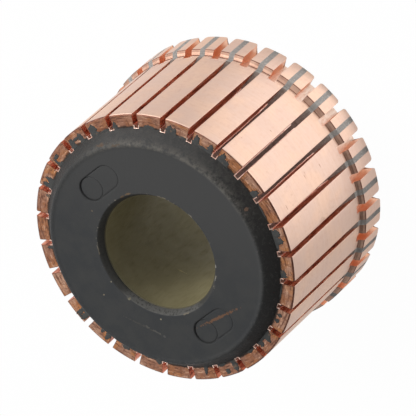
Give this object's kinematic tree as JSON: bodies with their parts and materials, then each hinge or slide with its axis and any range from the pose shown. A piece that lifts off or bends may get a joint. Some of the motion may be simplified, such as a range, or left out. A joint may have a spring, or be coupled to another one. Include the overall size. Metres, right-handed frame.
{
  "type": "commutator",
  "caption": "Round motor commutator: separate copper bars with slotted risers, anchored in a dark moulded hub with a sleeve-lined shaft bore.",
  "frame": {"origin": "centre of the riser end face, on the shaft axis", "axes": "+Z along the shaft axis from the riser end towards the brush end; +X through the middle of a slot between two bars"},
  "size_m": [0.0414, 0.0414, 0.0256],
  "materials": {
    "bar_copper": "fine-turned satin copper, oxidised at the ends",
    "hub_moulding": "dark filled moulding compound, grey where it is sawn and turned",
    "sleeve_laminate": "olive, smooth"
  },
  "bodies": {
    "root": {"segment_01": "bar_copper", "segment_02": "bar_copper", "segment_03": "bar_copper", "segment_04": "bar_copper", "segment_05": "bar_copper", "segment_06": "bar_copper", "segment_07": "bar_copper", "segment_08": "bar_copper", "segment_09": "bar_copper", "segment_10": "bar_copper", "segment_11": "bar_copper", "segment_12": "bar_copper", "segment_13": "bar_copper", "segment_14": "bar_copper", "segment_15": "bar_copper", "segment_16": "bar_copper", "segment_17": "bar_copper", "segment_18": "bar_copper", "segment_19": "bar_copper", "segment_20": "bar_copper", "segment_21": "bar_copper", "segment_22": "bar_copper", "segment_23": "bar_copper", "segment_24": "bar_copper", "segment_25": "bar_copper", "segment_26": "bar_copper", "segment_27": "bar_copper", "segment_28": "bar_copper", "moulded_hub": "hub_moulding", "bore_sleeve": "sleeve_laminate"}
  },
  "joints": []
}
